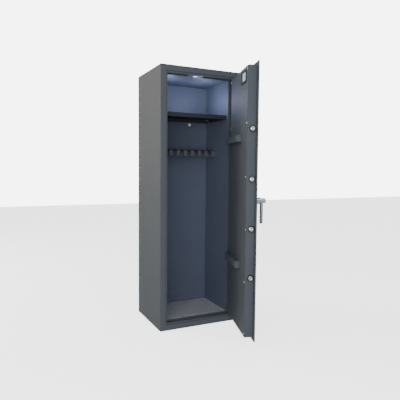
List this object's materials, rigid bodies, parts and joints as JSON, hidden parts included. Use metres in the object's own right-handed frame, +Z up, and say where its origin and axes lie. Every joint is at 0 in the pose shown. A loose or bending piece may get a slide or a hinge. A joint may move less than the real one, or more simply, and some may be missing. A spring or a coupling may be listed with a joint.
{
  "type": "gun safe",
  "caption": "Tall fire-lined steel gun safe with an inset door, concealed hinges, round side bolts, turning lever handle, shelf and notched barrel rest.",
  "frame": {"origin": "centre of the body's base, on the floor", "axes": "+Z up, -Y out of the front opening, +X towards the hinge side"},
  "size_m": [0.5, 0.8222, 1.5],
  "materials": {
    "grey_paint": "matt grey powder coat",
    "blue_grey_lining": "satin blue-grey paint",
    "fire_board": "light mineral fire board, about as dense as wood",
    "carpet": "short grey needle felt",
    "rubber": "black ribbed rubber",
    "chrome": "polished chrome plate",
    "zinc_plate": "dull zinc-plated steel",
    "steel": "bright rolled steel",
    "brass": "turned brass",
    "black_plastic": "moulded black nylon",
    "white_plastic": "moulded white plastic",
    "lamp_lens": "frosted lens"
  },
  "bodies": {
    "safe_body": {"outer_casing": "grey_paint", "door_frame": "grey_paint", "door_jamb": "grey_paint", "fire_insulation": "fire_board", "inner_lining": "blue_grey_lining", "floor_carpet": "carpet", "shelf": "grey_paint", "shelf_clip_left_front": "chrome", "shelf_clip_left_rear": "chrome", "shelf_clip_right_front": "chrome", "shelf_clip_right_rear": "chrome", "barrel_rack": "grey_paint", "rack_rubber": "rubber", "lamp_plate": "grey_paint", "lamp_lens": "lamp_lens", "anchor_cap_left": "white_plastic", "anchor_cap_right": "white_plastic", "hinge_bracket_lower": "zinc_plate", "hinge_bracket_upper": "zinc_plate", "hinge_pin_lower": "chrome", "hinge_pin_upper": "chrome"},
    "door": {"door_plate": "grey_paint", "door_box": "grey_paint", "door_panel": "grey_paint", "panel_screw_free_1": "chrome", "panel_screw_free_2": "chrome", "panel_screw_free_3": "chrome", "panel_screw_free_4": "chrome", "panel_screw_free_5": "chrome", "panel_screw_free_6": "chrome", "panel_screw_hinge_1": "chrome", "panel_screw_hinge_2": "chrome", "panel_screw_hinge_3": "chrome", "panel_screw_hinge_4": "chrome", "panel_screw_hinge_5": "chrome", "panel_screw_hinge_6": "chrome", "bolt_bush_1": "black_plastic", "bolt_bush_2": "black_plastic", "bolt_bush_3": "black_plastic", "bolt_bush_4": "black_plastic", "hinge_arm_lower": "grey_paint", "hinge_arm_upper": "grey_paint", "handle_rose": "chrome", "keyhole_plate": "chrome", "rating_plate": "black_plastic", "hard_plate": "steel", "lock_case": "zinc_plate", "carrier_guide_lower": "steel", "carrier_guide_upper": "steel"},
    "handle": {"handle_hub": "chrome", "handle_lever": "chrome", "handle_spindle": "steel"},
    "boltwork": {"bolt_carrier": "steel", "locking_bolt_1": "chrome", "locking_bolt_2": "chrome", "locking_bolt_3": "chrome", "locking_bolt_4": "chrome"},
    "key_barrel": {"key_barrel": "brass"},
    "dead_bolt": {"dead_bolt": "brass"},
    "keyhole_cover": {"keyhole_cover": "chrome"}
  },
  "joints": [
    {"name": "door_hinge", "type": "hinge", "parent": "safe_body", "child": "door", "pos_m": [0.235, -0.188, 0.7505], "axis": [0, 0, 1], "range_deg": [-72.7, 17.3]},
    {"name": "handle_turn", "type": "hinge", "parent": "door", "child": "handle", "pos_m": [0.13345, -0.55438, 0.763], "axis": [0.9548, -0.2974, 0], "range_deg": [0, 90]},
    {"name": "bolt_throw", "type": "slide", "parent": "door", "child": "boltwork", "axis": [-0.2974, -0.9548, 0], "range_m": [0, 0.024]},
    {"name": "key_turn", "type": "hinge", "parent": "door", "child": "key_barrel", "pos_m": [0.13197, -0.55915, 0.832], "axis": [0.9548, -0.2974, 0], "range_deg": [0, 180]},
    {"name": "dead_bolt_throw", "type": "slide", "parent": "door", "child": "dead_bolt", "axis": [0, 0, -1], "range_m": [0, 0.014]},
    {"name": "keyhole_cover_swing", "type": "hinge", "parent": "door", "child": "keyhole_cover", "pos_m": [0.13197, -0.55915, 0.8485], "axis": [0.9548, -0.2974, 0], "range_deg": [-100, 100]}
  ],
  "couplings": [
    {"joint": "bolt_throw", "follows": "handle_turn", "m_per_rad": 0.015279},
    {"joint": "key_turn", "follows": "dead_bolt_throw", "rad_per_m": 224.4}
  ]
}
